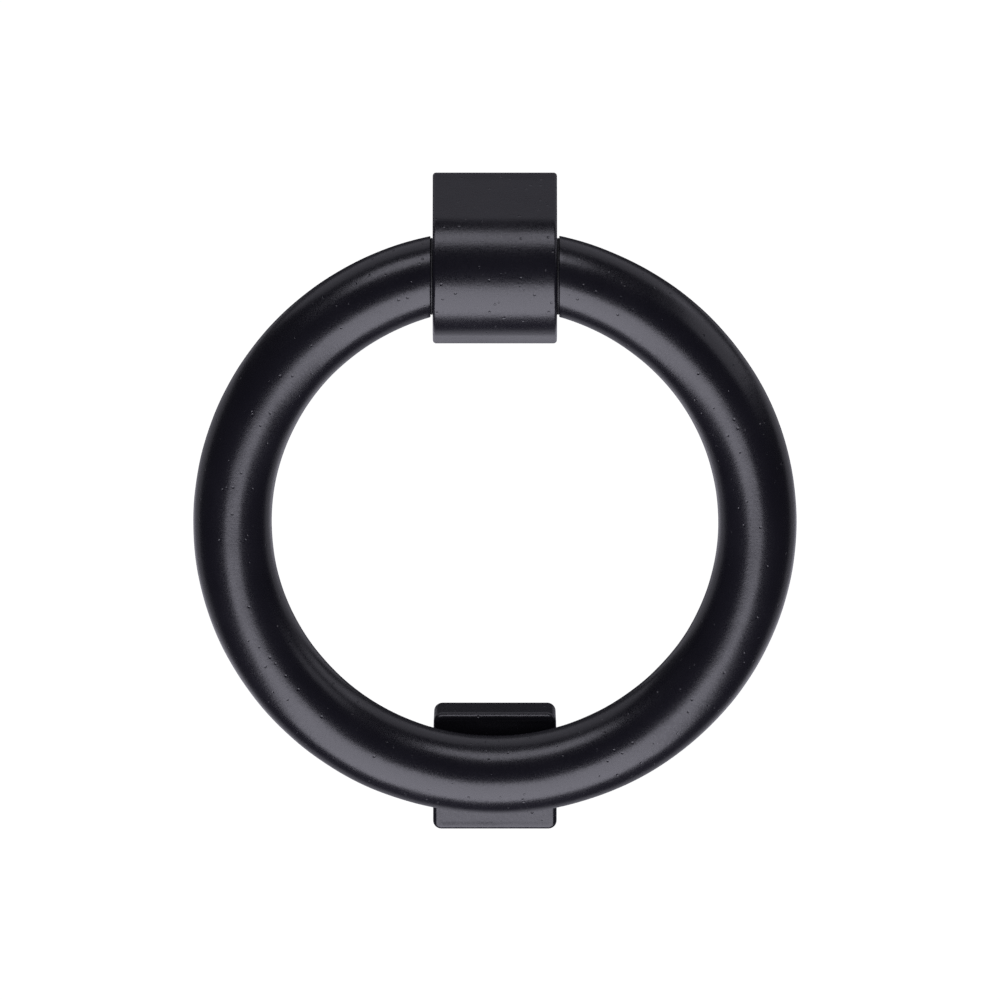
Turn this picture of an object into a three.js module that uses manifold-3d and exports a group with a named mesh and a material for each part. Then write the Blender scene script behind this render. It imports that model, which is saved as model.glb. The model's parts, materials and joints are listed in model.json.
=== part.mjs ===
// Ring door knocker: a cast bracket on the door carries a heavy ring on a hidden spindle, and the ring
// knocks on a separate cast strike plate below. Both castings are held by studs that screw into the door
// and are locked by a grub screw from beneath, with a pin beside each stud that stops the casting turning.
// Millimetres, +Z up. The door's outer face is the plane Y = 0 and the visitor stands at -Y.
// The origin is on that face, level with the ring's pivot.
import * as THREE from "three";
import { mergeVertices } from "three/addons/utils/BufferGeometryUtils.js";
import Module from "manifold-3d";

const wasm = await Module();
wasm.setup();

// ---- Driving dimensions ----
const castingWidth = 22; // the bracket and the strike plate share one width
const ringOuterDiameter = 107;
const barDiameter = 14;
const pivotStandoff = 11.4; // from the door's face to the spindle's axis
const noseRadius = 12; // round nose of the bracket
const noseStandoff = 6.8; // from the door's face to the centre of that nose
const neckTaper = THREE.MathUtils.degToRad(23); // top and bottom faces widen towards the door
const strikeHeight = 21.6;
const strikeThickness = 7;
const strikeCornerRadius = 1.5;
const strikeDrop = 93.4; // from the pivot down to the middle of the strike plate
const ringGap = 0.3; // the hanging ring stops this far in front of the strike plate
const bracketEdge = 0.6;
const strikeEdge = 1;
const spindleDiameter = 6;
const spindleReach = 3.9; // length of spindle seated in each end of the ring
const bushOuterDiameter = 8;
const bushLength = 8;
const flangeDiameter = 13.6;
const flangeThickness = 0.3;
const slip = 0.05; // gap between faces that bear on each other

// A stud has a plain spigot inside the casting and a wood thread in the door.
// Heights are from the middle of the casting, and depths are from the door's face into the casting.
const bracketFixing = {
  stud: { height: -5.5, spigotDiameter: 8, spigotLength: 6, threadDiameter: 6, threadLength: 30 },
  pin: { height: 7, diameter: 3, seated: 5, proud: 4 },
  grub: { depth: 3, diameter: 4, length: 4, socket: 2 },
};
const strikeFixing = {
  stud: { height: -2.95, spigotDiameter: 6, spigotLength: 5, threadDiameter: 5, threadLength: 25 },
  pin: { height: 6.35, diameter: 3, seated: 4.5, proud: 4 },
  grub: { depth: 2.5, diameter: 3, length: 4, socket: 1.5 },
};

// ---- Sizes worked out from them ----
const barRadius = barDiameter / 2;
const halfWidth = castingWidth / 2;
const ringRadius = (ringOuterDiameter - barDiameter) / 2; // to the middle of the bar
const ringEnd = halfWidth + slip + flangeThickness + slip; // x of each cut end of the ring
const ringDrop = Math.sqrt(ringRadius ** 2 - ringEnd ** 2); // from the spindle down to the ring's centre
const restStandoff = strikeThickness + ringGap + barRadius; // of the bar where it rests on the strike plate
const restLean = Math.asin((restStandoff - pivotStandoff) / (ringDrop + ringRadius)); // of the hanging ring

// ---- Facets ----
const barSides = 24;
const ringSteps = 80;
const noseSteps = 28;
const roundSides = 32;
const edgeSteps = 3;

// ---- Materials ----
const blackLacquer = new THREE.MeshStandardMaterial({ color: 0x161518, roughness: 0.32, metalness: 0.1 });
const steel = new THREE.MeshStandardMaterial({ color: 0xa8aaad, roughness: 0.35, metalness: 1 });
const nylon = new THREE.MeshStandardMaterial({ color: 0x1c1c1e, roughness: 0.6, metalness: 0 });

// ---- Solids: joins and cuts run on manifold-3d and come back as three.js geometry ----
function solidFrom(geometry) {
  const bare = geometry.clone();
  bare.deleteAttribute("normal");
  bare.deleteAttribute("uv");
  const merged = mergeVertices(bare);
  const vertProperties = Float32Array.from(merged.getAttribute("position").array);
  const triVerts = Uint32Array.from(merged.getIndex().array);
  return new wasm.Manifold(new wasm.Mesh({ numProp: 3, vertProperties, triVerts }));
}

function geometryFrom(solid) {
  const { vertProperties, triVerts } = solid.getMesh();
  const geometry = new THREE.BufferGeometry();
  geometry.setAttribute("position", new THREE.BufferAttribute(vertProperties, 3));
  geometry.setIndex(new THREE.BufferAttribute(triVerts, 1));
  geometry.computeVertexNormals();
  return geometry;
}

// Cuts every tool out of a body.
function carve(body, tools) {
  let solid = solidFrom(body);
  for (const tool of tools) solid = solid.subtract(solidFrom(tool));
  return geometryFrom(solid);
}

// ---- Shapes that repeat ----
// A round body on the local Y axis, from points given as [radius, height].
function turned(points) {
  return new THREE.LatheGeometry(points.map(([radius, y]) => new THREE.Vector2(radius, y)), roundSides);
}

// A round hole with a running fit, standing on the local Y axis from its middle.
function hole(diameter, length) {
  const radius = diameter / 2 + slip;
  return new THREE.CylinderGeometry(radius, radius, length, roundSides);
}

function place(name, geometry, material, [x, y, z]) {
  const mesh = new THREE.Mesh(geometry, material);
  mesh.name = name;
  mesh.position.set(x, y, z);
  return mesh;
}

// ---- Bracket: its side view is drawn as (distance from the door, height) and extruded over the width ----
function neckHeightAt(depth) {
  return noseRadius / Math.cos(neckTaper) + (noseStandoff - depth) * Math.tan(neckTaper);
}

function bracketGeometry({ stud, pin, grub }) {
  const overrun = 4 * bracketEdge; // the casting is drawn past the door's face and cut off flat there
  const tangent = Math.PI / 2 - neckTaper;
  const profile = new THREE.Shape();
  profile.moveTo(-overrun, neckHeightAt(-overrun));
  profile.lineTo(-overrun, -neckHeightAt(-overrun));
  profile.absarc(noseStandoff, 0, noseRadius, -tangent, tangent, false);
  const casting = new THREE.ExtrudeGeometry(profile, {
    depth: castingWidth - 2 * bracketEdge,
    bevelThickness: bracketEdge,
    bevelSize: bracketEdge,
    bevelOffset: -bracketEdge,
    bevelSegments: edgeSteps,
    curveSegments: noseSteps,
  });
  casting.translate(0, 0, bracketEdge - halfWidth);
  const span = 4 * noseRadius;
  return carve(casting, [
    new THREE.BoxGeometry(span, span, span).translate(-span / 2, 0, 0),
    hole(bushOuterDiameter, span).rotateX(Math.PI / 2).translate(pivotStandoff, 0, 0),
    hole(stud.spigotDiameter, 2 * (stud.spigotLength + slip)).rotateZ(Math.PI / 2).translate(0, stud.height, 0),
    hole(pin.diameter, 2 * (pin.seated + slip)).rotateZ(Math.PI / 2).translate(0, pin.height, 0),
    hole(grub.diameter, span).translate(grub.depth, stud.height - span / 2, 0),
  ]);
}

// ---- Ring: a torus about the local Z axis, cut square beside the bracket and drilled for the spindle ----
function ringGeometry() {
  return carve(new THREE.TorusGeometry(ringRadius, barRadius, barSides, ringSteps), [
    new THREE.BoxGeometry(2 * ringEnd, 2 * barDiameter, 2 * barDiameter).translate(0, ringRadius, 0),
    hole(spindleDiameter, 2 * (ringEnd + spindleReach + slip)).rotateZ(Math.PI / 2).translate(0, ringDrop, 0),
  ]);
}

// ---- Strike plate: drawn from the front, extruded towards the visitor, softened on its front edges only ----
function strikePlateGeometry({ stud, pin, grub }) {
  const x = halfWidth - strikeCornerRadius;
  const y = strikeHeight / 2 - strikeCornerRadius;
  const quarter = Math.PI / 2;
  const outline = new THREE.Shape();
  outline.absarc(x, y, strikeCornerRadius, 0, quarter, false);
  outline.absarc(-x, y, strikeCornerRadius, quarter, 2 * quarter, false);
  outline.absarc(-x, -y, strikeCornerRadius, 2 * quarter, 3 * quarter, false);
  outline.absarc(x, -y, strikeCornerRadius, 3 * quarter, 4 * quarter, false);
  const casting = new THREE.ExtrudeGeometry(outline, {
    depth: strikeThickness,
    bevelThickness: strikeEdge,
    bevelSize: strikeEdge,
    bevelOffset: -strikeEdge,
    bevelSegments: edgeSteps,
    curveSegments: 6,
  });
  casting.translate(0, 0, -strikeEdge);
  const span = 2 * castingWidth;
  return carve(casting, [
    new THREE.BoxGeometry(span, span, span).translate(0, 0, -span / 2),
    hole(stud.spigotDiameter, 2 * (stud.spigotLength + slip)).rotateX(Math.PI / 2).translate(0, stud.height, 0),
    hole(pin.diameter, 2 * (pin.seated + slip)).rotateX(Math.PI / 2).translate(0, pin.height, 0),
    hole(grub.diameter, span).translate(0, stud.height - span / 2, grub.depth),
  ]);
}

// ---- Turned pieces ----
function spindleGeometry() {
  const chamfer = 0.5;
  const radius = spindleDiameter / 2;
  const half = ringEnd + spindleReach;
  return turned([
    [0, -half],
    [radius - chamfer, -half],
    [radius, chamfer - half],
    [radius, half - chamfer],
    [radius - chamfer, half],
    [0, half],
  ]);
}

// A liner for the bracket's bore with a thin flange that keeps the ring's end off the casting.
function bushGeometry() {
  const bore = spindleDiameter / 2 + slip;
  return turned([
    [bore, -bushLength],
    [bushOuterDiameter / 2, -bushLength],
    [bushOuterDiameter / 2, 0],
    [flangeDiameter / 2, 0],
    [flangeDiameter / 2, flangeThickness],
    [bore, flangeThickness],
    [bore, -bushLength],
  ]);
}

function studGeometry({ spigotDiameter, spigotLength, threadDiameter, threadLength }) {
  const chamfer = 0.6;
  const pointLength = 1.2 * threadDiameter;
  return turned([
    [0, -spigotLength],
    [spigotDiameter / 2 - chamfer, -spigotLength],
    [spigotDiameter / 2, chamfer - spigotLength],
    [spigotDiameter / 2, 0],
    [threadDiameter / 2, 0],
    [threadDiameter / 2, threadLength - pointLength],
    [0, threadLength],
  ]);
}

function pinGeometry({ diameter, seated, proud }) {
  const chamfer = 0.4;
  return turned([
    [0, -seated],
    [diameter / 2 - chamfer, -seated],
    [diameter / 2, chamfer - seated],
    [diameter / 2, proud - chamfer],
    [diameter / 2 - chamfer, proud],
    [0, proud],
  ]);
}

// A headless screw hanging from its flat point at the local origin, with a hexagon socket in its lower end.
function grubScrewGeometry({ diameter, length, socket }) {
  const chamfer = 0.3;
  const corner = socket / 2 / Math.cos(Math.PI / 6);
  const body = turned([
    [0, -length],
    [diameter / 2 - chamfer, -length],
    [diameter / 2, chamfer - length],
    [diameter / 2, -chamfer],
    [diameter / 2 - chamfer, 0],
    [0, 0],
  ]);
  return carve(body, [new THREE.CylinderGeometry(corner, corner, length, 6).translate(0, -length, 0)]);
}

// The stud, pin and grub screw of one casting whose middle is at the given height.
function fixings(prefix, height, { stud, pin, grub }) {
  const studHeight = height + stud.height;
  const grubTop = studHeight - stud.spigotDiameter / 2 - slip;
  const grubScrew = place(`${prefix}_grub_screw`, grubScrewGeometry(grub), steel, [0, -grub.depth, grubTop]);
  grubScrew.rotation.x = Math.PI / 2; // its point presses on the spigot above it
  return [
    place(`${prefix}_fixing_stud`, studGeometry(stud), steel, [0, 0, studHeight]),
    place(`${prefix}_locating_pin`, pinGeometry(pin), steel, [0, 0, height + pin.height]),
    grubScrew,
  ];
}

// ---- Assembly ----
const knocker = new THREE.Group();

const bracket = place("bracket", bracketGeometry(bracketFixing), blackLacquer, [0, 0, 0]);
bracket.rotation.set(Math.PI / 2, -Math.PI / 2, 0);
const strikePlate = place("strike_plate", strikePlateGeometry(strikeFixing), blackLacquer, [0, 0, -strikeDrop]);
strikePlate.rotation.x = Math.PI / 2;
knocker.add(bracket, strikePlate);

// The ring and its spindle turn together about this group's X axis, and hang slightly off the vertical
// because the strike plate holds the bottom of the ring further from the door than its spindle.
const pivot = new THREE.Group();
pivot.position.set(0, -pivotStandoff, 0);
pivot.rotation.x = -restLean;
const ring = place("ring", ringGeometry(), blackLacquer, [0, 0, -ringDrop]);
ring.rotation.x = Math.PI / 2;
const spindle = place("spindle", spindleGeometry(), steel, [0, 0, 0]);
spindle.rotation.z = -Math.PI / 2;
pivot.add(ring, spindle);
knocker.add(pivot);

for (const [name, side] of [["bush_left", -1], ["bush_right", 1]]) {
  const bush = place(name, bushGeometry(), nylon, [side * (halfWidth + slip), -pivotStandoff, 0]);
  bush.rotation.z = (-side * Math.PI) / 2;
  knocker.add(bush);
}

knocker.add(...fixings("bracket", 0, bracketFixing), ...fixings("strike", -strikeDrop, strikeFixing));

export default knocker;
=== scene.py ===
"""The looks of a ring door knocker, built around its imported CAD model.

Metres, +Z up. The door's face is the plane Y = 0 and the visitor stands at -Y. Every piece is a closed skin
of loops with equal point counts, so that edges are truly round and surfaces can be slightly uneven, as cast.
"""

import json
import math

import bmesh
import bpy
from mathutils import Matrix, Vector, noise

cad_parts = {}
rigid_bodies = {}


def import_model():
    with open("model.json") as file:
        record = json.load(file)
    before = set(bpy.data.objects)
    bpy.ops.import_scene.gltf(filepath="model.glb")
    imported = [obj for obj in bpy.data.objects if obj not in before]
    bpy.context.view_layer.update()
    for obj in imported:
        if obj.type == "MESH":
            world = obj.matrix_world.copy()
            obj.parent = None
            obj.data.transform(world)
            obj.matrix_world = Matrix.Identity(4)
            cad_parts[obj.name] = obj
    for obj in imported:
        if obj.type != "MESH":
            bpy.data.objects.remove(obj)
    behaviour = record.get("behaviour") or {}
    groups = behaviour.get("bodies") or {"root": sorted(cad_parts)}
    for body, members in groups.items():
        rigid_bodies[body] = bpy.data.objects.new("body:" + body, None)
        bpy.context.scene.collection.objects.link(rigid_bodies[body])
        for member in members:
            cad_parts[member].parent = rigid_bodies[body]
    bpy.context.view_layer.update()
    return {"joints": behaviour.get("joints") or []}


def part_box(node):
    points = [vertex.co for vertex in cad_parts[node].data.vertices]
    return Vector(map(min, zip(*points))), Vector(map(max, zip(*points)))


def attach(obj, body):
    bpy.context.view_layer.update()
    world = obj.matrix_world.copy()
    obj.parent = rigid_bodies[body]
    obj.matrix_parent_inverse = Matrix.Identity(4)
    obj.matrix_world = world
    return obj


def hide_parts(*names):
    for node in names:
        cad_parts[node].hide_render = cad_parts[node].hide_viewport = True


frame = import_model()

MM = 0.001

# ---- The frame's own sizes ----
ring_low, ring_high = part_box("ring")
bracket_low, bracket_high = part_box("bracket")
plate_low, plate_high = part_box("strike_plate")
spindle_low, spindle_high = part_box("spindle")
bush_low, bush_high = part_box("bush_right")
swing = frame["joints"][0]
pivot = Vector(swing["pos_m"])
fixed_body, ring_body = swing["parent"], swing["child"]

slip = 0.05 * MM  # running gap between pieces, as in the CAD
bar_radius = 7 * MM
ring_radius = (ring_high.x - ring_low.x) / 2 - bar_radius
ring_end = bush_high.x + slip
ring_drop = math.sqrt(ring_radius**2 - ring_end**2)  # from the pivot to the ring's centre
spindle_radius = (spindle_high.y - spindle_low.y) / 2
half_width = bracket_high.x
nose_radius = 12 * MM
nose_standoff = -bracket_low.y - nose_radius
neck_height = bracket_high.z
neck_reach = math.hypot(neck_height, nose_standoff)  # from the nose's centre to the bracket's top back edge
neck_taper = math.acos(nose_radius / neck_reach) - math.atan2(nose_standoff, neck_height)
touch_gap = 0.01 * MM  # between the finished faces that bear on each other

# The ring hangs off the vertical, because the strike plate holds its lowest part away from the door.
lean = math.asin((pivot.y - bar_radius - ring_low.y) / (ring_drop + ring_radius))
ring_centre = pivot + ring_drop * Vector((0, -math.sin(lean), -math.cos(lean)))


# ---- Meshes from loops ----
def finish_mesh(name, mesh, sharp_degrees):
    """Makes a smooth-shaded object from a mesh, with edges over sharp_degrees kept crisp."""
    smallest = 0.002 * MM  # slivers below this size, which cuts leave behind, are merged away
    tidy = bmesh.new()
    tidy.from_mesh(mesh)
    bmesh.ops.remove_doubles(tidy, verts=tidy.verts, dist=smallest)
    bmesh.ops.recalc_face_normals(tidy, faces=tidy.faces)
    tidy.to_mesh(mesh)
    tidy.free()
    mesh.shade_smooth()
    mesh.set_sharp_from_angle(angle=math.radians(sharp_degrees))
    piece = bpy.data.objects.new(name, mesh)
    bpy.context.scene.collection.objects.link(piece)
    return piece


def skin(name, loops, closed=False, sharp_degrees=32):
    """A closed surface through loops of equal point count. Its two ends are capped, or meet when closed."""
    count = len(loops[0])
    points = [point for loop in loops for point in loop]
    faces = []
    for row in range(len(loops) if closed else len(loops) - 1):
        a, b = row * count, (row + 1) % len(loops) * count
        for i in range(count):
            j = (i + 1) % count
            faces.append((a + i, a + j, b + j, b + i))
    if not closed:
        faces.append(tuple(range(count)))
        faces.append(tuple(range(len(points) - count, len(points))))
    mesh = bpy.data.meshes.new(name)
    mesh.from_pydata(points, [], faces)
    return finish_mesh(name, mesh, sharp_degrees)


def turned(name, place, rows, sides=64, radius_at=None):
    """A body turned about the local Z axis. rows are (radius, height), and radius_at(radius, turn, height)
    may change the radius round the body, as a thread does."""
    loops = []
    for radius, height in rows:
        loop = []
        for i in range(sides):
            turn = i / sides
            r = radius_at(radius, turn, height) if radius_at else radius
            angle = turn * math.tau
            loop.append(place @ Vector((r * math.cos(angle), r * math.sin(angle), height)))
        loops.append(loop)
    return skin(name, loops)


def cut_holes(piece, cutters, sharp_degrees=32):
    """Cuts closed bodies out of a piece, and removes them."""
    for cutter in cutters:
        modifier = piece.modifiers.new("hole", "BOOLEAN")
        modifier.operation = "DIFFERENCE"
        modifier.solver = "EXACT"
        modifier.object = cutter
    bpy.context.view_layer.update()
    depsgraph = bpy.context.evaluated_depsgraph_get()
    mesh = bpy.data.meshes.new_from_object(piece.evaluated_get(depsgraph), depsgraph=depsgraph)
    name = piece.name
    for old in [piece, *cutters]:
        bpy.data.objects.remove(old)
    return finish_mesh(name, mesh, sharp_degrees)


def uneven(point, size, height, seed):
    """A smooth random height at a point, for surfaces that were cast and finished by hand."""
    return height * noise.noise(point / size + Vector((seed, seed * 1.7, seed * 2.3)))


def quarter_turn(steps):
    """Angles from 0 to a right angle."""
    return [math.pi / 2 * i / steps for i in range(steps + 1)]


# ---- Local frames: local Z becomes each piece's own axis ----
def along_x(origin, direction):
    return Matrix.Translation(origin) @ Matrix.Rotation(direction * math.pi / 2, 4, "Y")


def along_y(origin, direction):
    return Matrix.Translation(origin) @ Matrix.Rotation(-direction * math.pi / 2, 4, "X")


def along_z(origin, direction):
    return Matrix.Translation(origin) @ Matrix.Rotation(0 if direction > 0 else math.pi, 4, "X")


def body_axis(node, axis):
    """The middle of a CAD node's box, on its lowest face along that axis."""
    low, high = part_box(node)
    middle = (low + high) / 2
    middle[axis] = low[axis]
    return middle


# ---- The ring ----
def make_ring():
    """The bar swept round the ring, drawn upright and then leaned out about the pivot. Each loop runs round
    the bar, and the ends are cut square to X."""
    sides, steps, edge_steps = 96, 420, 5
    edge = 0.15 * MM
    unevenness = 0.09 * MM
    skim = 0.45 * unevenness  # taken off all round, so that the high spots keep the ring's true size
    mouth = spindle_radius + slip
    depth = spindle_high.x + slip
    cut_end = bush_high.x + touch_gap
    upright_centre = pivot - Vector((0, 0, ring_drop))
    leaning = Matrix.Translation(pivot) @ Matrix.Rotation(-lean, 4, "X") @ Matrix.Translation(-pivot)

    def bar_loop(end_x, radius, share):
        """The loop at a share of the way round, for a bar of that radius whose flat ends lie at end_x."""
        loop = []
        for i in range(sides):
            turn = math.tau * i / sides
            start = math.asin(end_x / (ring_radius + radius * math.cos(turn)))
            around = start + share * (math.tau - 2 * start)
            outward = Vector((math.sin(around), 0, math.cos(around)))
            middle = upright_centre + ring_radius * outward
            normal = outward * math.cos(turn) + Vector((0, math.sin(turn), 0))
            point = middle + radius * normal
            lift = uneven(point, 16 * MM, unevenness, 3) + uneven(point, 6 * MM, unevenness / 3, 8)
            lifted = point + normal * (lift - skim)
            if share in (0, 1):
                lifted.x = point.x
            loop.append(lifted)
        return loop

    def hole_loop(x, radius, side):
        """A loop round the spindle's hole, whose points match those of the bar's loop."""
        centre = Vector((side * x, pivot.y, pivot.z))
        turns = [math.tau * i / sides for i in range(sides)]
        return [centre + radius * Vector((0, math.sin(t), math.cos(t))) for t in turns]

    def end_loops(side):
        share = 0 if side > 0 else 1
        rows = [hole_loop(depth, mouth * 0.5, side), hole_loop(depth, mouth, side)]
        rows += [hole_loop(cut_end + 0.4 * MM, mouth, side), hole_loop(cut_end, mouth + 0.3 * MM, side)]
        rows.append(hole_loop(cut_end, mouth + 1.2 * MM, side))
        rows.append(bar_loop(cut_end, bar_radius - edge - 0.6 * MM, share))
        for angle in quarter_turn(edge_steps):
            inset = edge * (1 - math.sin(angle))
            rows.append(bar_loop(cut_end + edge * (1 - math.cos(angle)), bar_radius - inset, share))
        return rows

    middle = [bar_loop(cut_end + edge, bar_radius, i / steps) for i in range(1, steps)]
    piece = skin("ring_casting", end_loops(1) + middle + end_loops(-1)[::-1])
    piece.data.transform(leaning)
    return piece


# ---- The bracket ----
def bracket_profile(spacing):
    """Points round the bracket's side view as (depth from the door, height) and their outward normals."""
    corner = 0.25 * MM
    top_angle = math.pi / 2 - neck_taper
    corner_height = (nose_radius - corner) / math.cos(neck_taper)
    corner_height += (nose_standoff - corner) * math.tan(neck_taper)
    points = []

    def arc(x, z, radius, start, end):
        count = max(6, round(radius * (end - start) / spacing))
        for i in range(count + 1):
            angle = start + (end - start) * i / count
            normal = Vector((math.cos(angle), math.sin(angle)))
            points.append((Vector((x, z)) + radius * normal, normal))

    def straight(x, z):
        """Fills the line from the last point to (x, z) with evenly spaced points, without its ends."""
        start, normal = points[-1]
        end = Vector((x, z))
        count = max(2, round((end - start).length / spacing))
        points.extend((start.lerp(end, i / count), normal) for i in range(1, count))

    arc(nose_standoff, 0, nose_radius, -top_angle, top_angle)
    back_top = Vector((corner, corner_height)) + corner * Vector((math.cos(top_angle), math.sin(top_angle)))
    straight(*back_top)
    arc(corner, corner_height, corner, top_angle, math.pi)
    straight(0, -corner_height)
    arc(corner, -corner_height, corner, math.pi, math.tau - top_angle)
    straight(nose_standoff + nose_radius * math.cos(top_angle), -nose_radius * math.sin(top_angle))
    return points


def make_bracket():
    """A tube of loops: over the casting's outer surface, down one side to the bore, and back through it."""
    edge, edge_steps, across, down = 0.6 * MM, 6, 46, 14
    unevenness = 0.06 * MM
    bore_radius = 4 * MM + slip
    profile = bracket_profile(0.35 * MM)
    nose_start = nose_standoff + nose_radius * math.sin(neck_taper)
    square_height = 0.97 * neck_height

    def drawn_in(depth, height, normal, inset):
        """A point of the profile moved inwards, except on the back, which stays flat on the door."""
        if depth >= nose_start:
            return depth - inset * normal.x, height - inset * normal.y
        moved = depth / nose_start * inset * math.sin(neck_taper)
        lowered = inset / math.cos(neck_taper) * min(1, abs(height) / square_height)
        return depth - moved, height - math.copysign(lowered - moved * math.tan(neck_taper), height)

    def outer_loop(x, inset):
        loop = []
        for (depth, height), normal in profile:
            depth, height = drawn_in(depth, height, normal, inset)
            point = Vector((x, -depth, height))
            out = Vector((0, -normal.x, normal.y))
            from_door = min(1, depth / (2 * MM))
            lift = from_door * (uneven(point, 9 * MM, unevenness, 5) - unevenness)
            loop.append(point + out * lift)
        return loop

    def bore_loop(x, radius):
        loop = []
        for (depth, height), _ in profile:
            arm = Vector((0, -depth - pivot.y, height)).normalized()
            loop.append(Vector((x, pivot.y, 0)) + radius * arm)
        return loop

    flat = half_width - edge
    loops = [outer_loop(-flat + 2 * flat * i / across, 0) for i in range(across + 1)]
    for side in (1, -1):
        rows = []
        for angle in quarter_turn(edge_steps)[1:]:
            x = side * (flat + edge * math.sin(angle))
            rows.append(outer_loop(x, edge * (1 - math.cos(angle))))
        rim = rows[-1]
        mouth = bore_loop(side * half_width, bore_radius + 0.3 * MM)
        for i in range(1, down):
            rows.append([a.lerp(b, i / down) for a, b in zip(rim, mouth)])
        rows.append(mouth)
        rows.append(bore_loop(side * (half_width - 0.3 * MM), bore_radius))
        loops = loops + rows if side > 0 else loops + rows[::-1]
    piece = skin("bracket_casting", loops, closed=True)
    return cut_holes(piece, fixing_holes("bracket"))


# ---- The strike plate ----
def make_strike_plate():
    """Loops from the middle of the back, up the sides, over the rounded front edge to the front's middle."""
    half_x = plate_high.x
    half_z = (plate_high.z - plate_low.z) / 2
    middle_z = (plate_high.z + plate_low.z) / 2
    thickness = -plate_low.y
    corner, edge, top_edge = 1.5 * MM, 0.8 * MM, 1.1 * MM
    waist, top_waist = 0.08 * MM, 0.15 * MM
    unevenness = 0.05 * MM
    edge_steps, face_rings, spacing = 7, 22, 0.35 * MM
    outline = []
    for quarter, (sx, sz) in enumerate([(1, 1), (-1, 1), (-1, -1), (1, -1)]):
        centre = Vector((sx * (half_x - corner), sz * (half_z - corner)))
        for angle in quarter_turn(8):
            turn = quarter * math.pi / 2 + angle
            normal = Vector((math.cos(turn), math.sin(turn)))
            outline.append((centre + corner * normal, normal))
    filled = []
    for i, (start, normal) in enumerate(outline):
        end = outline[(i + 1) % len(outline)][0]
        count = max(1, round((end - start).length / spacing))
        filled.extend((start.lerp(end, j / count), normal) for j in range(count))

    def loop_at(depth, inset_share, scale=1.0):
        """A loop at a depth from the door. inset_share is the part of the front edge's radius it draws in."""
        loop = []
        for (x, z), normal in filled:
            radius = edge + (top_edge - edge) * max(0, normal.y)
            upper = max(0, z / half_z)
            narrow = waist * (1 - depth / thickness) + top_waist * upper**2
            draw_in = inset_share * radius
            flat = Vector((x - math.copysign(narrow, x) * abs(x) / half_x, z)) - normal * draw_in
            point = Vector((flat.x * scale, -depth, middle_z + flat.y * scale))
            loop.append(point)
        return loop

    def roughened(loop, out):
        made = []
        for point in loop:
            lift = uneven(point, 7 * MM, unevenness, 11) - unevenness
            made.append(point + lift * out)
        return made

    def front_loop(angle):
        """A loop on the rounded front edge, whose radius is largest along the top."""
        loop = []
        for low, high, (_, normal) in zip(loop_at(thickness, 0), loop_at(thickness, 1), filled):
            radius = edge + (top_edge - edge) * max(0, normal.y)
            point = low.lerp(high, 1 - math.cos(angle))
            loop.append(point + Vector((0, radius * (1 - math.sin(angle)), 0)))
        return loop

    back_edge = 0.25 * MM
    loops = [loop_at(0, 0.3, i / face_rings) for i in range(1, face_rings + 1)]
    loops += [loop_at(back_edge, 0), loop_at(thickness * 0.4, 0), loop_at(thickness * 0.7, 0)]
    loops += [front_loop(angle) for angle in quarter_turn(edge_steps)]
    for i in range(face_rings - 1, 0, -1):
        front = loop_at(thickness, 1, i / face_rings)
        loops.append(roughened(front, Vector((0, -1, 0))))
    piece = skin("strike_plate_casting", loops)
    return cut_holes(piece, fixing_holes("strike"))


# ---- Holes for the fixings of one casting ----
def fixing_holes(prefix):
    """Cutters with a running fit round the casting's stud, pin and grub screw. The bracket's underside can be
    seen from in front, so the mouth of its grub screw's hole is filled and lacquered over."""
    over = 1 * MM
    holes = []
    for kind in ("fixing_stud", "locating_pin"):
        low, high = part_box(f"{prefix}_{kind}")
        radius = (high.x - low.x) / 2 + slip
        start = body_axis(f"{prefix}_{kind}", 1)
        seated = -low.y
        lead = 0.3 * MM
        rows = [(radius, -slip), (radius, seated - lead), (radius + 2 * lead, seated + lead)]
        holes.append(turned(f"{kind}_hole", along_y(start, 1), rows))
    low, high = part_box(f"{prefix}_grub_screw")
    radius = (high.x - low.x) / 2 + slip
    top = Vector((0, (low.y + high.y) / 2, high.z + over))
    below_screw = 2 * slip if prefix == "bracket" else 5 * over
    length = over + high.z - low.z + below_screw
    holes.append(turned("grub_hole", along_z(top, -1), [(radius, 0), (radius, length)]))
    return holes


# ---- Turned pieces ----
def make_spindle():
    """A bar whose ends are knurled where they are pressed into the ring."""
    chamfer, knurl_depth, ridges = 0.5 * MM, 0.12 * MM, 36
    half = spindle_high.x
    knurled = spindle_high.x - ring_end

    def knurl(radius, turn, height):
        from_end = half - abs(height)
        inside = chamfer < from_end < knurled
        return radius - knurl_depth * (0.5 + 0.5 * math.cos(turn * ridges * math.tau)) * inside

    ends = [(spindle_radius - chamfer, half), (spindle_radius, half - chamfer)]
    step = 0.05 * MM
    ends += [(spindle_radius, half - chamfer - step), (spindle_radius, half - knurled + step)]
    ends.append((spindle_radius, half - knurled))
    rows = [(r, -h) for r, h in ends] + [(r, h) for r, h in reversed(ends)]
    return turned("spindle_bar", along_x(Vector((0, pivot.y, pivot.z)), 1), rows, 216, knurl)


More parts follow.
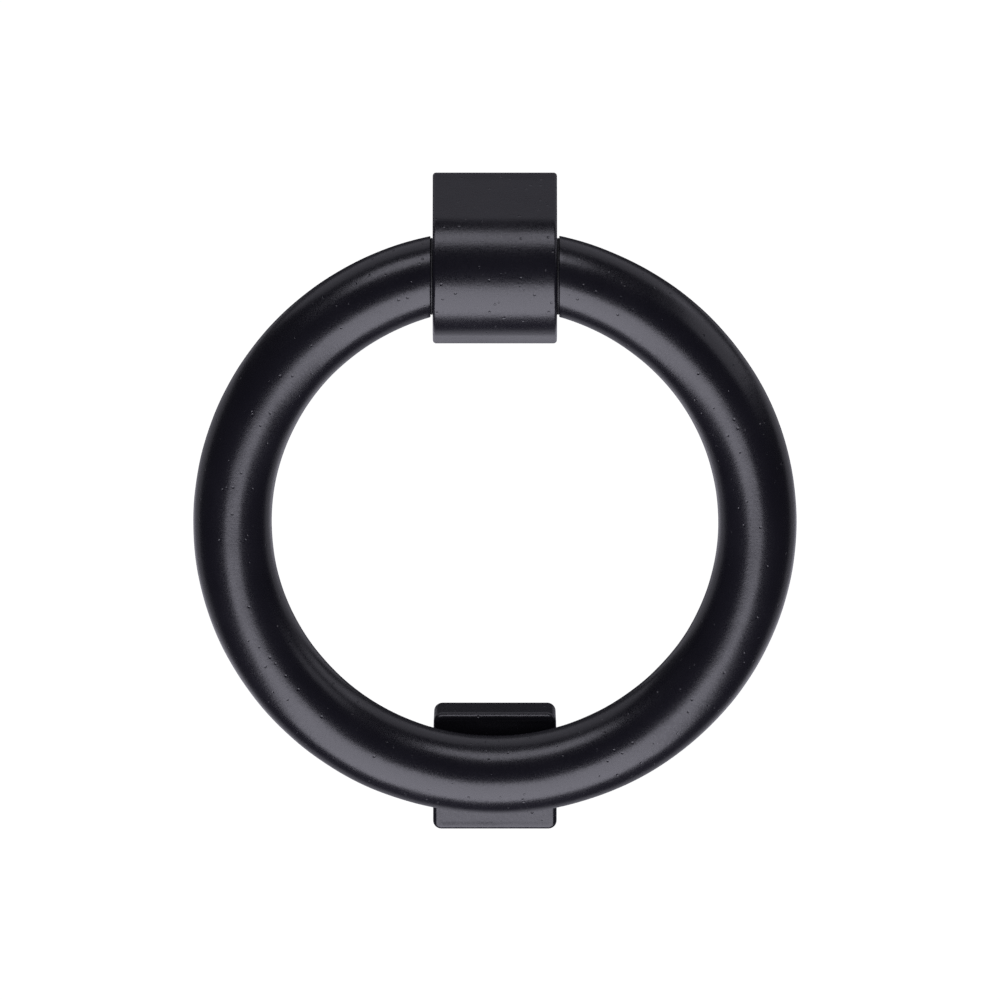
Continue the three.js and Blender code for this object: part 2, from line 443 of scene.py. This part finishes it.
def make_bush(side):
    """A flanged liner with rounded rims, open right through."""
    name = "bush_right" if side > 0 else "bush_left"
    sides = 72
    bore = spindle_radius + slip
    barrel = 4 * MM
    flange = (bush_high.z - bush_low.z) / 2
    length = bush_high.x - bush_low.x
    seat = half_width + touch_gap - bush_low.x
    rim = 0.1 * MM
    rows = [(bore, 0), (barrel - rim, 0), (barrel, rim), (barrel, seat - rim), (barrel, seat)]
    rows += [(flange - rim, seat), (flange, seat + rim), (flange, length - rim), (flange - rim, length)]
    rows += [(bore + rim, length), (bore, length - rim)]
    place = along_x(Vector((side * bush_low.x, pivot.y, pivot.z)), side)
    loops = []
    angles = [math.tau * i / sides for i in range(sides)]
    for radius, height in rows:
        loops.append([place @ Vector((radius * math.cos(a), radius * math.sin(a), height)) for a in angles])
    return skin(name + "_liner", loops, closed=True)


def ridge(phase):
    """The height of a sharp thread ridge, from 0 between turns to 1 at its crest."""
    return max(0.0, 1 - abs(phase % 1 - 0.5) * 3.2)


def make_stud(prefix):
    """A plain spigot with a groove for the grub screw, then a coarse wood thread that ends in a point."""
    node = f"{prefix}_fixing_stud"
    low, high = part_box(node)
    start = body_axis(node, 1)
    spigot = high.x
    spigot_length = -low.y
    crest = (3.0 if prefix == "bracket" else 2.5) * MM  # half the 6 mm and 5 mm wood threads
    core, pitch, point_length = crest * 0.68, crest * 0.8, crest * 2.4
    end = high.y - low.y
    grub_low, grub_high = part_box(f"{prefix}_grub_screw")
    groove = (grub_low.y + grub_high.y) / 2 - low.y
    chamfer, groove_depth, groove_half = 0.6 * MM, 0.35 * MM, 0.9 * MM
    rows = [(spigot - chamfer, 0), (spigot, chamfer), (spigot, groove - groove_half)]
    rows += [(spigot - groove_depth, groove), (spigot, groove + groove_half)]
    rows += [(spigot, spigot_length - 0.2 * MM), (spigot - 0.2 * MM, spigot_length)]
    thread_start = spigot_length + 0.1 * MM
    count = round((end - thread_start) / (pitch / 16))
    for i in range(count + 1):
        height = thread_start + (end - thread_start) * i / count
        taper = min(1, (end - height) / point_length)
        rows.append((max(core * taper, 0.06 * MM), height))

    def thread(radius, turn, height):
        if height < thread_start:
            return radius
        run_in = min(1, (height - thread_start) / pitch)
        run_out = min(1, (end - height) / point_length)
        return radius + (crest - core) * ridge(height / pitch - turn) * run_in * run_out

    return turned(f"{prefix}_stud_body", along_y(start, 1), rows, 48, thread)


def make_pin(prefix):
    """A short pin with rounded ends and a slight lead on the end that enters the door."""
    node = f"{prefix}_locating_pin"
    low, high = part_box(node)
    radius = (high.x - low.x) / 2
    length = high.y - low.y
    rounding = 0.4 * MM
    rows = []
    for angle in quarter_turn(5):
        rows.append((radius - rounding * (1 - math.sin(angle)), rounding * (1 - math.cos(angle))))
    rows.append((radius, length * 0.72))
    for angle in reversed(quarter_turn(5)):
        inset = rounding * (1 - math.sin(angle))
        rows.append((radius * 0.94 - inset, length - rounding * (1 - math.cos(angle))))
    return turned(f"{prefix}_pin_body", along_y(body_axis(node, 1), 1), rows)


def make_grub_screw(prefix):
    """A headless screw with a fine thread and a hexagon socket in its lower end."""
    node = f"{prefix}_grub_screw"
    low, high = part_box(node)
    crest = (high.x - low.x) / 2
    length = high.z - low.z
    pitch, depth, sides = 0.35 * crest, 0.2 * crest, 72
    half_flat = crest / 2
    place = along_z(body_axis(node, 2), 1)
    lead = 0.3 * MM

    def circle(radius, height, threaded=False):
        loop = []
        for i in range(sides):
            turn = i / sides
            cut = depth * (1 - ridge(height / pitch - turn)) if threaded else 0
            angle = turn * math.tau
            r = radius - cut
            loop.append(place @ Vector((r * math.cos(angle), r * math.sin(angle), height)))
        return loop

    def hexagon(height):
        loop = []
        for i in range(sides):
            angle = math.tau * i / sides
            reach = half_flat / math.cos((angle % (math.pi / 3)) - math.pi / 6)
            loop.append(place @ Vector((reach * math.cos(angle), reach * math.sin(angle), height)))
        return loop

    loops = [circle(half_flat * 0.4, length / 2 + 0.3 * MM), hexagon(length / 2), hexagon(0.1 * MM)]
    loops += [circle(half_flat * 1.3, 0), circle(crest - lead, 0)]
    count = round((length - 2 * lead) / (pitch / 14))
    for i in range(count + 1):
        loops.append(circle(crest, lead + (length - 2 * lead) * i / count, True))
    loops += [circle(crest - 1.4 * lead, length), circle(crest * 0.3, length - 0.3 * MM)]
    return skin(f"{prefix}_grub_body", loops)


# ---- Materials ----
def add(tree, kind, inputs, **settings):
    """Adds a node, sets its properties, and sets or links its inputs. Returns its first output."""
    made = tree.nodes.new(kind)
    for key, value in settings.items():
        setattr(made, key, value)
    for key, value in inputs.items():
        if isinstance(value, bpy.types.NodeSocket):
            tree.links.new(value, made.inputs[key])
        else:
            made.inputs[key].default_value = value
    return made.outputs[0]


def math_node(tree, operation, a, b=0.0):
    return add(tree, "ShaderNodeMath", {0: a, 1: b}, operation=operation)


def scaled_sum(tree, value, scale, start):
    """value x scale + start."""
    return add(tree, "ShaderNodeMath", {0: value, 1: scale, 2: start}, operation="MULTIPLY_ADD")


def remap(tree, value, low, high, to_low, to_high):
    inputs = {"Value": value, "From Min": low, "From Max": high, "To Min": to_low, "To Max": to_high}
    return add(tree, "ShaderNodeMapRange", inputs, interpolation_type="SMOOTHSTEP")


def cloud(tree, vector, size, detail=2.0):
    """Noise whose features are about that many metres across."""
    return add(tree, "ShaderNodeTexNoise", {"Vector": vector, "Scale": 1 / size, "Detail": detail})


def new_material(name):
    material = bpy.data.materials.new(name)
    material.use_nodes = True
    tree = material.node_tree
    shader = tree.nodes["Principled BSDF"]
    coordinates = tree.nodes.new("ShaderNodeTexCoord").outputs["Object"]
    return material, tree, shader, coordinates


def blend_colour(tree, factor, low, high):
    ramp = tree.nodes.new("ShaderNodeValToRGB")
    tree.links.new(factor, ramp.inputs[0])
    ramp.color_ramp.elements[0].color = (*low, 1)
    ramp.color_ramp.elements[1].color = (*high, 1)
    return ramp.outputs[0]


def bump(tree, height, distance, below=None):
    inputs = {"Height": height, "Distance": distance, "Strength": 1.0}
    if below:
        inputs["Normal"] = below
    return add(tree, "ShaderNodeBump", inputs)


def ring_grain(tree, coordinates):
    """Coordinates drawn out across the bar, so that noise in them makes polishing lines."""
    drawn_out = 0.12
    offset = add(tree, "ShaderNodeVectorMath", {0: coordinates, 1: -ring_centre}, operation="ADD")
    parts = tree.nodes.new("ShaderNodeSeparateXYZ")
    tree.links.new(offset, parts.inputs[0])
    around = math_node(tree, "ARCTAN2", parts.outputs["X"], parts.outputs["Z"])
    along = math_node(tree, "MULTIPLY", around, ring_radius)
    out_x = math_node(tree, "POWER", parts.outputs["X"], 2.0)
    out_z = math_node(tree, "POWER", parts.outputs["Z"], 2.0)
    out = math_node(tree, "SQRT", math_node(tree, "ADD", out_x, out_z))
    slow_out = math_node(tree, "MULTIPLY", out, drawn_out)
    slow_y = math_node(tree, "MULTIPLY", parts.outputs["Y"], drawn_out)
    return add(tree, "ShaderNodeCombineXYZ", {0: along, 1: slow_out, 2: slow_y})


def stretched(tree, coordinates, scale):
    return add(tree, "ShaderNodeVectorMath", {0: coordinates, 1: scale}, operation="MULTIPLY")


def black_lacquer(name, grain_of, seed):
    """Satin black lacquer on hand-finished brass: fine grain, faint polishing lines, pits and pale specks."""
    material, tree, shader, coordinates = new_material(name)
    offset = (seed, seed * 2, seed * 3)
    shifted = add(tree, "ShaderNodeVectorMath", {0: coordinates, 1: offset}, operation="ADD")
    lines = cloud(tree, grain_of(tree, coordinates), 0.28 * MM, 3)
    grain = cloud(tree, shifted, 0.42 * MM, 3)
    peel = cloud(tree, shifted, 2.6 * MM, 2)
    patches = cloud(tree, shifted, 9 * MM, 3)

    cells = {"Vector": shifted, "Scale": 1 / (2.1 * MM), "Randomness": 1.0}
    pit_distance = add(tree, "ShaderNodeTexVoronoi", cells)
    pits = remap(tree, pit_distance, 0.05, 0.14, 1.0, 0.0)
    turned_cells = stretched(tree, shifted, (1.3, 1.1, 0.9))
    speck_cells = {"Vector": turned_cells, "Scale": 1 / (3.4 * MM), "Randomness": 1.0}
    speck_distance = add(tree, "ShaderNodeTexVoronoi", speck_cells)
    specks = remap(tree, speck_distance, 0.02, 0.07, 1.0, 0.0)
    worn_here = remap(tree, patches, 0.46, 0.66, 0.0, 1.0)
    pale = math_node(tree, "MULTIPLY", specks, worn_here)

    base = blend_colour(tree, patches, (0.0046, 0.0042, 0.0072), (0.0084, 0.0078, 0.0118))
    colour = tree.nodes.new("ShaderNodeMix")
    colour.data_type = "RGBA"
    tree.links.new(pale, colour.inputs["Factor"])
    tree.links.new(base, colour.inputs[6])
    colour.inputs[7].default_value = (0.11, 0.105, 0.11, 1)
    tree.links.new(colour.outputs[2], shader.inputs["Base Color"])

    mottled = scaled_sum(tree, grain, 0.16, 0.15)
    with_patches = scaled_sum(tree, patches, 0.09, mottled)
    tree.links.new(scaled_sum(tree, pale, 0.3, with_patches), shader.inputs["Roughness"])

    height = bump(tree, peel, 0.020 * MM)
    height = bump(tree, grain, 0.012 * MM, height)
    height = bump(tree, lines, 0.006 * MM, height)
    height = bump(tree, math_node(tree, "MULTIPLY", pits, -1), 0.045 * MM, height)
    tree.links.new(height, shader.inputs["Normal"])
    shader.inputs["IOR"].default_value = 1.5
    return material


def zinc_steel():
    """Bright zinc plating: a soft grey metal with a faint crystal bloom and darker hollows."""
    material, tree, shader, coordinates = new_material("zinc_plated_steel")
    bloom = cloud(tree, coordinates, 0.8 * MM, 4)
    colour = blend_colour(tree, bloom, (0.40, 0.41, 0.43), (0.66, 0.67, 0.68))
    tree.links.new(colour, shader.inputs["Base Color"])
    tree.links.new(remap(tree, bloom, 0.3, 0.7, 0.26, 0.44), shader.inputs["Roughness"])
    tree.links.new(bump(tree, cloud(tree, coordinates, 0.2 * MM, 2), 0.004 * MM), shader.inputs["Normal"])
    shader.inputs["Metallic"].default_value = 1.0
    return material


def turned_steel():
    """Plain turned bar: fine rings left by the tool round the X axis."""
    material, tree, shader, coordinates = new_material("turned_steel")
    rings = cloud(tree, stretched(tree, coordinates, (1, 0.02, 0.02)), 0.12 * MM, 3)
    colour = blend_colour(tree, rings, (0.45, 0.45, 0.46), (0.62, 0.62, 0.62))
    tree.links.new(colour, shader.inputs["Base Color"])
    tree.links.new(remap(tree, rings, 0.3, 0.7, 0.2, 0.36), shader.inputs["Roughness"])
    tree.links.new(bump(tree, rings, 0.006 * MM), shader.inputs["Normal"])
    shader.inputs["Metallic"].default_value = 1.0
    return material


def black_nylon():
    """Moulded nylon: dark, slightly waxy, with a fine spark-eroded texture."""
    material, tree, shader, coordinates = new_material("black_nylon")
    texture = cloud(tree, coordinates, 0.25 * MM, 3)
    colour = blend_colour(tree, texture, (0.010, 0.010, 0.011), (0.018, 0.018, 0.019))
    tree.links.new(colour, shader.inputs["Base Color"])
    tree.links.new(remap(tree, texture, 0.3, 0.7, 0.48, 0.62), shader.inputs["Roughness"])
    tree.links.new(bump(tree, texture, 0.01 * MM), shader.inputs["Normal"])
    return material


# ---- The studio ----
def camera():
    """A long lens just above the knocker, so that the view is almost without perspective."""
    elevation = math.radians(15.46) + lean
    distance, frame_height, sensor = 5.0, 177.1 * MM, 36.0
    aim_right, aim_up = 0.91 * MM, 3.93 * MM
    back = Vector((0, -math.cos(elevation), math.sin(elevation)))
    up = Vector((0, math.sin(elevation), math.cos(elevation)))
    lens = bpy.data.cameras.new("camera")
    lens.sensor_width = sensor
    lens.lens = sensor * distance / frame_height
    lens.clip_end = 50
    made = bpy.data.objects.new("camera", lens)
    bpy.context.scene.collection.objects.link(made)
    made.location = ring_centre + Vector((aim_right, 0, 0)) + aim_up * up + distance * back
    made.rotation_euler = (math.pi / 2 - elevation, 0, 0)
    bpy.context.scene.camera = made


def panel(name, azimuth, elevation, distance, width, height, radiance, spin=0.0, tilt=0.0):
    """A softbox facing the knocker. Azimuth 0 is in front, 90 on the right; elevation is above the horizon.
    spin turns the panel about the line to the knocker, and tilt lays it further back."""
    a, e = math.radians(azimuth), math.radians(elevation)
    direction = Vector((math.sin(a) * math.cos(e), -math.cos(a) * math.cos(e), math.sin(e)))
    light = bpy.data.lights.new(name, "AREA")
    light.shape = "RECTANGLE"
    light.size, light.size_y = width, height
    light.energy = radiance * math.pi * width * height
    light.color = (1.0, 0.98, 1.12)
    made = bpy.data.objects.new(name, light)
    bpy.context.scene.collection.objects.link(made)
    made.location = ring_centre + direction * distance
    facing = direction.to_track_quat("Z", "Y").to_matrix()
    turn = Matrix.Rotation(math.radians(spin), 3, "Z") @ Matrix.Rotation(math.radians(tilt), 3, "X")
    made.rotation_euler = (facing @ turn).to_euler()
    made.visible_camera = False


def studio():
    """Softboxes on a dim surround, over a pale floor. Only the camera sees the pale background itself."""
    # The two main reflections: a broad band low on every rounded face, and a narrow one near the top.
    panel("front_low", -4, -29, 0.98, 0.88, 1.33, 3.8, tilt=43)
    panel("top_strip", -22, 70.7, 0.90, 0.95, 0.36, 2.9, spin=20)
    # Weak fills that outline the top of the bracket and the rims of the ring.
    panel("back_high", 180, 51, 0.8, 1.6, 0.62, 0.50)
    panel("back_low", 180, -40, 0.8, 1.2, 0.75, 0.35)
    panel("back_left", -137, -15, 0.8, 0.71, 0.75, 0.35)
    panel("back_right", 137, -15, 0.8, 0.71, 0.75, 0.35)
    panel("right_high", 96, 30, 0.8, 0.80, 0.34, 0.8)
    world = bpy.data.worlds.new("surround")
    world.use_nodes = True
    bpy.context.scene.world = world
    tree = world.node_tree
    background = tree.nodes["Background"]
    seen = tree.nodes.new("ShaderNodeLightPath").outputs["Is Camera Ray"]
    tree.links.new(blend_colour(tree, seen, (0.04, 0.04, 0.046), (1, 1, 1)), background.inputs["Color"])
    bpy.context.scene.view_settings.view_transform = "Standard"


def floor():
    """A plain pale floor, far enough below that every view of the knocker is taken from above it."""
    hanging_height, size = 3.2, 40.0
    mesh = bpy.data.meshes.new("floor")
    corners = [(-size, -size), (size, -size), (size, size), (-size, size)]
    mesh.from_pydata([(x, y, -hanging_height) for x, y in corners], [], [(0, 1, 2, 3)])
    made = bpy.data.objects.new("floor", mesh)
    bpy.context.scene.collection.objects.link(made)
    material, tree, shader, _ = new_material("pale_floor")
    shader.inputs["Base Color"].default_value = (0.9, 0.9, 0.9, 1)
    shader.inputs["Emission Color"].default_value = (1, 1, 1, 1)
    shader.inputs["Emission Strength"].default_value = 1.0
    mesh.materials.append(material)
    made.visible_glossy = False
    made.visible_diffuse = False


# ---- Assembly ----
def place(piece, node, body, slot, material):
    """Lets a piece stand for its CAD node, move with its body and take its finish."""
    piece.data.materials.clear()
    piece.data.materials.append(material)
    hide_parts(node)
    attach(piece, body)


camera()
studio()
floor()

zinc, bar_steel, nylon = zinc_steel(), turned_steel(), black_nylon()
ring_lacquer = black_lacquer("ring_lacquer", ring_grain, 0.1)
bracket_lacquer = black_lacquer("bracket_lacquer", lambda tree, at: stretched(tree, at, (0.1, 1, 1)), 0.3)
plate_lacquer = black_lacquer("plate_lacquer", lambda tree, at: stretched(tree, at, (1, 1, 0.3)), 0.5)

place(make_ring(), "ring", ring_body, "black_lacquer", ring_lacquer)
place(make_spindle(), "spindle", ring_body, "steel", bar_steel)
place(make_bracket(), "bracket", fixed_body, "black_lacquer", bracket_lacquer)
place(make_strike_plate(), "strike_plate", fixed_body, "black_lacquer", plate_lacquer)
place(make_bush(-1), "bush_left", fixed_body, "nylon", nylon)
place(make_bush(1), "bush_right", fixed_body, "nylon", nylon)
for prefix in ("bracket", "strike"):
    place(make_stud(prefix), f"{prefix}_fixing_stud", fixed_body, "steel", zinc)
    place(make_pin(prefix), f"{prefix}_locating_pin", fixed_body, "steel", zinc)
    place(make_grub_screw(prefix), f"{prefix}_grub_screw", fixed_body, "steel", zinc)
